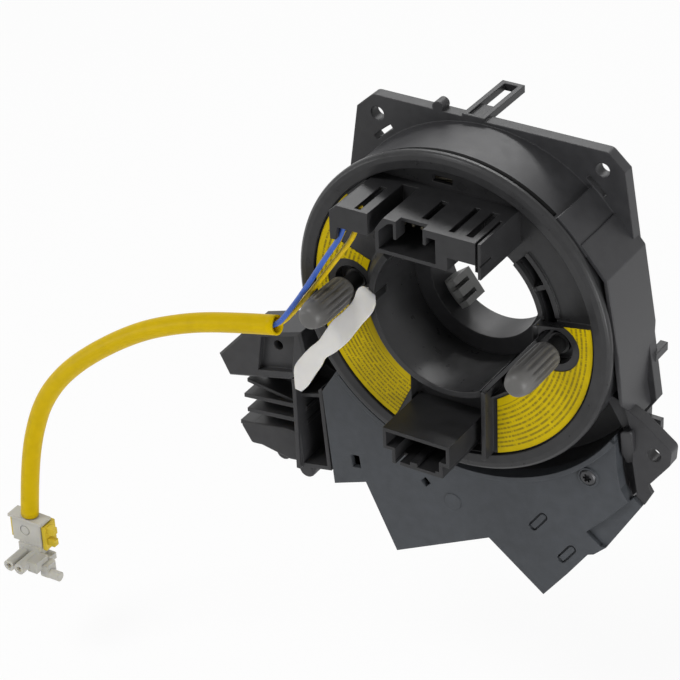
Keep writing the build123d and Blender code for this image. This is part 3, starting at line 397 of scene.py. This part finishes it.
# Facetted wall beside the drum, from the raised rib down to the screw ear, and the block by the ear
prism("drum_side_wall",
      [(41.0, 33.4), (49.2, 24.0), (53.1, -0.6), (52.5, -19.0), (53.9, -27.0),
       (52.6, -27.0), (51.3, -19.0), (51.6, -0.6), (47.9, 23.1), (40.2, 32.0)],
      0.6, [24.2, 24.2, 24.2, 20.0, 11.5, 11.5, 20.0, 24.2, 24.2, 24.2])
prism("ear_block",
      [(51.0, -29.8), (51.9, -28.8), (54.6, -28.0), (55.2, -29.4), (55.3, -34.8), (54.2, -41.0),
       (51.9, -42.4), (51.1, -37.8)],
      13.0, [18.6, 18.8, 18.8, 18.6, 18.2, 15.4, 15.2, 17.6], bevel=0.7)

# Lower part of the left carrier: a strut under the nose, a flat body and two rounded lobes
prism("carrier_strut",
      [(-84.4, -56.4), (-67.4, -59.0), (-62.5, -59.3), (-62.5, -60.6), (-67.6, -60.3),
       (-84.4, -57.9)],
      5.0, 12.6, bevel=0.3)
prism("carrier_body",
      [(-87.0, -73.8), (-84.9, -72.4), (-69.4, -70.0), (-62.3, -70.5), (-62.3, -81.0),
       (-68.5, -81.8), (-79.2, -79.8), (-83.1, -80.2)],
      4.2, 14.3, bevel=0.9)
boss("carrier_lobe_a", -72.5, -81.8, 2.7, 5.0, 12.0, bevel=0.8)
boss("carrier_lobe_b", -62.6, -84.2, 2.9, 5.0, 13.6, bevel=0.8)

# Dark filler in the open slit of the upper connector: a near-black sheet of painted shade that
# stands in for the shade inside the connector's open bay
prism("slit_painted_shade", [(18.2, 28.3), (19.4, 28.3), (19.4, 37.2), (18.2, 37.2)], 41.5, 43.7,
      finish=shadow_black, body="rotor", bevel=0)

# Dark band on the drum that stands for the shaded gap behind the bezel
DRUM_RADIUS = 51.0
SHADE_RADIUS, SHADE_LIFT, SHADE_REAR, SHADE_FRONT = DRUM_RADIUS - 0.4, 0.52, 22.2, 24.0
SHADE_START, SHADE_END, SHADE_SIDES = radians(51), radians(178), 160
turns = [SHADE_START + (SHADE_END - SHADE_START) * k / SHADE_SIDES for k in range(SHADE_SIDES + 1)]
shade_top = SHADE_RADIUS + SHADE_LIFT
outer = [(shade_top * cos(turn), shade_top * sin(turn)) for turn in turns]
inner = [(SHADE_RADIUS * cos(turn), SHADE_RADIUS * sin(turn)) for turn in turns[::-1]]
prism("drum_gap_shade", outer + inner, SHADE_REAR, SHADE_FRONT, finish=shadow_black, bevel=0)


# Caps on the drive pins: fluted barrels with a blunt nose, as radii and heights
CAP_PROFILE = [
    (2.1, 31.2), (3.9, 31.0), (4.25, 31.25), (4.35, 31.7), (4.4, 32.2), (4.45, 33.0), (4.5, 35.0),
    (4.55, 38.0), (4.6, 41.0), (4.6, 43.5), (4.55, 45.0), (4.45, 46.2), (4.2, 47.6), (3.8, 49.0),
    (3.3, 50.1), (2.7, 50.7), (1.8, 50.95), (0.9, 51.0),
]
CAP_FLUTES, FLUTE_DEPTH, FLUTE_STEPS, FLUTE_SHARPNESS = 14, 0.55, 12, 1.6
FLUTE_REAR, FLUTE_REAR_RUNOUT = 32.0, 1.2
FLUTE_FRONT, FLUTE_FRONT_RUNOUT = 46.6, 2.2
PINS = {"left": (-34.0, 1.0), "right": (34.0, -1.0)}


def flute_share(height):
    """How deep the flutes are at a height: none at the rim and none on the nose."""
    rise = min(max((height - FLUTE_REAR) / FLUTE_REAR_RUNOUT, 0), 1)
    fall = min(max((FLUTE_FRONT - height) / FLUTE_FRONT_RUNOUT, 0), 1)
    return rise * fall


for side, (pin_x, pin_y) in PINS.items():
    steps = CAP_FLUTES * FLUTE_STEPS
    points = []
    for radius, height in CAP_PROFILE:
        for k in range(steps):
            turn = 2 * pi * k / steps
            wave = (0.5 - 0.5 * cos(CAP_FLUTES * turn)) ** FLUTE_SHARPNESS
            reach = radius - wave * FLUTE_DEPTH * flute_share(height)
            points.append((pin_x + reach * cos(turn), pin_y + reach * sin(turn), height))
    faces = []
    for row in range(len(CAP_PROFILE) - 1):
        for k in range(steps):
            a, b = row * steps + k, row * steps + (k + 1) % steps
            faces.append([a, b, b + steps, a + steps])
    faces.append(list(range(steps)))
    faces.append(list(range(len(points) - steps, len(points))))
    cap = mesh_piece("cap_" + side, points, faces, cap_grey, "rotor")
    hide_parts("pin_cap_" + side)


# Transport tab: left and right edges of the strip with their height, from its tongue in the hub to
# its pointed end
TAB_EDGES = [
    ((-27.0, 2.1), (-24.8, 0.7), 23.2), ((-27.0, 2.1), (-24.8, 0.7), 28.4),
    ((-28.2, 3.1), (-23.4, 0.7), 30.4), ((-28.8, 2.2), (-22.4, -0.4), 31.8),
    ((-29.2, -0.2), (-23.0, -3.0), 33.3), ((-32.0, -4.2), (-25.3, -6.3), 34.6),
    ((-34.9, -7.4), (-27.4, -9.6), 35.6), ((-37.2, -11.2), (-30.0, -13.5), 36.4),
    ((-39.5, -15.1), (-33.7, -17.5), 36.9), ((-42.3, -18.1), (-37.1, -20.5), 37.3),
    ((-45.2, -21.8), (-38.6, -23.6), 37.7), ((-47.9, -26.2), (-41.0, -27.6), 38.0),
    ((-48.1, -30.5), (-43.5, -31.9), 38.2), ((-47.8, -33.9), (-45.6, -34.3), 38.4),
]
TAB_STEPS, TAB_COLUMNS = 5, 6
TAB_THICK, TAB_ROUNDING, TAB_SEGMENTS = 1.1, 0.25, 2


def through(points, steps):
    """Smooth line through the points, with the given number of steps between two of them."""
    ends = [points[0], *points, points[-1]]
    line = []
    for before, a, b, after in zip(ends, ends[1:], ends[2:], ends[3:]):
        for k in range(steps):
            t = k / steps
            line.append(0.5 * (2 * a + (b - before) * t
                               + (2 * before - 5 * a + 4 * b - after) * t * t
                               + (3 * a - before - 3 * b + after) * t ** 3))
    return line + [points[-1]]


left_edge = through([Vector((*a, z)) for a, b, z in TAB_EDGES], TAB_STEPS)
right_edge = through([Vector((*b, z)) for a, b, z in TAB_EDGES], TAB_STEPS)
points = [tuple(a.lerp(b, k / TAB_COLUMNS)) for a, b in zip(left_edge, right_edge)
          for k in range(TAB_COLUMNS + 1)]
faces = []
for row in range(len(left_edge) - 1):
    for k in range(TAB_COLUMNS):
        a, b = row * (TAB_COLUMNS + 1) + k, (row + 1) * (TAB_COLUMNS + 1) + k
        faces.append([a, a + 1, b + 1, b])
tab = mesh_piece("tab_strip", points, faces, tab_white, "transport_tab")
wall = tab.modifiers.new("thickness", "SOLIDIFY")
wall.thickness = TAB_THICK / 1000
wall.offset = 0
round_edges(tab, TAB_ROUNDING, TAB_SEGMENTS)
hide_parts("transport_tab")


# Airbag lead: the control points of the CAD tubes on the front view, with the wires' heads
# listed
LEAD_PLANE = 42.0
WIRE_DIAMETER, WIRE_SPREAD = 1.6, 0.95
SLEEVE_DIAMETER, SLEEVE_BORE = 6.2, 4.6
SLEEVE_ROUTE = [
    (-50.7, -10.4), (-67.9, -14.4), (-85.6, -19.9), (-105.3, -29.3), (-129.4, -47.5),
    (-143.6, -64.4), (-151.0, -82.5), (-155.0, -102.0), (-156.65, -116.5),
]
WIRE_TAIL = (-157.17, -121.0)
BLUE_HEAD = [
    (-24.0, 37.5), (-24.2, 30.2), (-32.0, 18.2), (-40.4, 4.2), (-46.0, -4.2), (-50.3, -10.0),
    (-57.0, -11.9),
]
YELLOW_HEAD = [
    (-20.4, 37.5), (-20.8, 30.2), (-30.4, 16.2), (-39.8, 2.6), (-45.6, -5.2), (-50.3, -10.6),
    (-57.0, -12.1),
]


def lead_curve(name, route, height, radius):
    """One smooth open spline with the route's points as its control points."""
    curve = bpy.data.curves.new(name, "CURVE")
    curve.dimensions = "3D"
    spline = curve.splines.new("NURBS")
    spline.points.add(len(route) - 1)
    for point, (x, y) in zip(spline.points, route):
        point.co = (*at(x, y, height), 1)
    spline.order_u = 3
    spline.use_endpoint_u = True
    spline.resolution_u = 12
    curve.bevel_depth = radius / 1000
    curve.bevel_resolution = 6
    curve.use_fill_caps = True
    return placed(name, curve)


def wire(name, head, side, finish):
    """One wire of the lead, from the upper connector through the sleeve into the plug."""
    route = [*head, *SLEEVE_ROUTE[1:-1], WIRE_TAIL]
    height = LEAD_PLANE + side * WIRE_SPREAD
    made = lead_curve(name + "_cord", route, height, WIRE_DIAMETER / 2)
    made.data.materials.append(finish)
    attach(made, "rotor")
    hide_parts(name)


wire("blue_wire", BLUE_HEAD, 1, wire_blue)
wire("yellow_wire", YELLOW_HEAD, -1, wire_yellow)

# The sleeve as a tube with a wall, and the line that it follows
line = lead_curve("sleeve_line", SLEEVE_ROUTE, LEAD_PLANE, (SLEEVE_DIAMETER + SLEEVE_BORE) / 4)
line.data.use_fill_caps = False
line.data.bevel_resolution = 10
bpy.context.view_layer.update()
sleeve = placed("lead_sleeve_tube", bpy.data.meshes.new_from_object(line))
bare = line.copy()
bare.data = line.data.copy()
bare.data.bevel_depth = 0
bpy.context.scene.collection.objects.link(bare)
bpy.context.view_layer.update()
thread = bpy.data.meshes.new_from_object(bare)
for scratch in (line, bare):
    bpy.data.objects.remove(scratch)
sleeve.data.materials.clear()
sleeve.data.materials.append(sleeve_yellow)
for face in sleeve.data.polygons:
    face.use_smooth = True
shell = sleeve.modifiers.new("wall", "SOLIDIFY")
shell.thickness = (SLEEVE_DIAMETER - SLEEVE_BORE) / 2000
shell.offset = 0
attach(sleeve, "rotor")
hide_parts("lead_sleeve")
